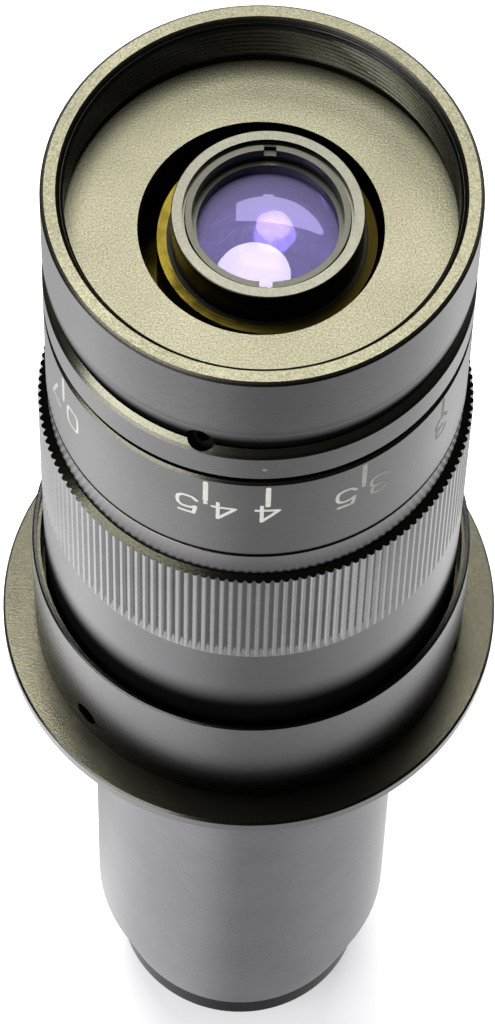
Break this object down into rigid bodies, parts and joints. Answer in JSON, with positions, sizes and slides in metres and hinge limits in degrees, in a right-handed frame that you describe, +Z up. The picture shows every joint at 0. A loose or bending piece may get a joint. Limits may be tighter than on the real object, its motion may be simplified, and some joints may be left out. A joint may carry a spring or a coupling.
{
  "type": "c-mount zoom lens",
  "caption": "Long black inspection zoom lens with a knurled zoom ring, a zoom scale, a 50 mm mounting collar with a seat flange, a threaded front and a camera thread.",
  "frame": {"origin": "centre of the camera thread's end face, on which the lens stands", "axes": "+Z up the optical axis towards the front of the lens, -Y towards the index mark"},
  "size_m": [0.0576, 0.0576, 0.1853],
  "materials": {
    "cap_black": "black anodised, satin, fine bead blast",
    "barrel_black": "black anodised, satin, fine turning marks",
    "cell_black": "black anodised, satin",
    "ring_black": "black anodised, darker",
    "brass": "turned, bright",
    "bronze": "plain sheet",
    "screw_steel": "black oxide",
    "coated_glass": "polished, violet-blue coating",
    "glass": "polished"
  },
  "bodies": {
    "root": {"front_cap": "cap_black", "cap_grub_screw": "screw_steel", "index_barrel": "barrel_black", "guide_tube": "brass", "front_thrust_washer": "bronze", "rear_thrust_washer": "bronze", "stop_pin": "screw_steel", "mounting_collar": "barrel_black", "collar_grub_screws": "screw_steel", "rear_tube": "barrel_black", "relay_lens_cell": "cell_black", "relay_lens": "glass", "relay_retaining_ring": "cell_black", "light_baffle": "cell_black", "c_mount_ring": "ring_black"},
    "zoom": {"zoom_ring": "barrel_black", "scale_ring": "barrel_black", "cam_sleeve": "brass", "zoom_drive_screws": "screw_steel"},
    "front_group": {"front_carrier": "brass", "front_follower_pin": "screw_steel", "front_lens_cell": "cell_black", "front_lens_crown": "coated_glass", "front_lens_flint": "glass", "front_retaining_ring": "cell_black"},
    "rear_group": {"rear_carrier": "brass", "rear_follower_pin": "screw_steel", "rear_lens_cell": "cell_black", "rear_lens": "glass", "rear_retaining_ring": "cell_black"}
  },
  "joints": [
    {"name": "zoom_turn", "type": "hinge", "parent": "root", "child": "zoom", "pos_m": [0, 0, 0.13], "axis": [0, 0, 1], "range_deg": [-287.7, 16.7]},
    {"name": "front_group_slide", "type": "slide", "parent": "root", "child": "front_group", "axis": [0, 0, 1], "range_m": [-0.01002, 0.0006]},
    {"name": "rear_group_slide", "type": "slide", "parent": "root", "child": "rear_group", "axis": [0, 0, 1], "range_m": [-0.00048, 0.00802]}
  ],
  "couplings": [
    {"joint": "front_group_slide", "follows": "zoom_turn", "m_per_rad": 0.0019916},
    {"joint": "rear_group_slide", "follows": "zoom_turn", "m_per_rad": -0.0015932}
  ]
}
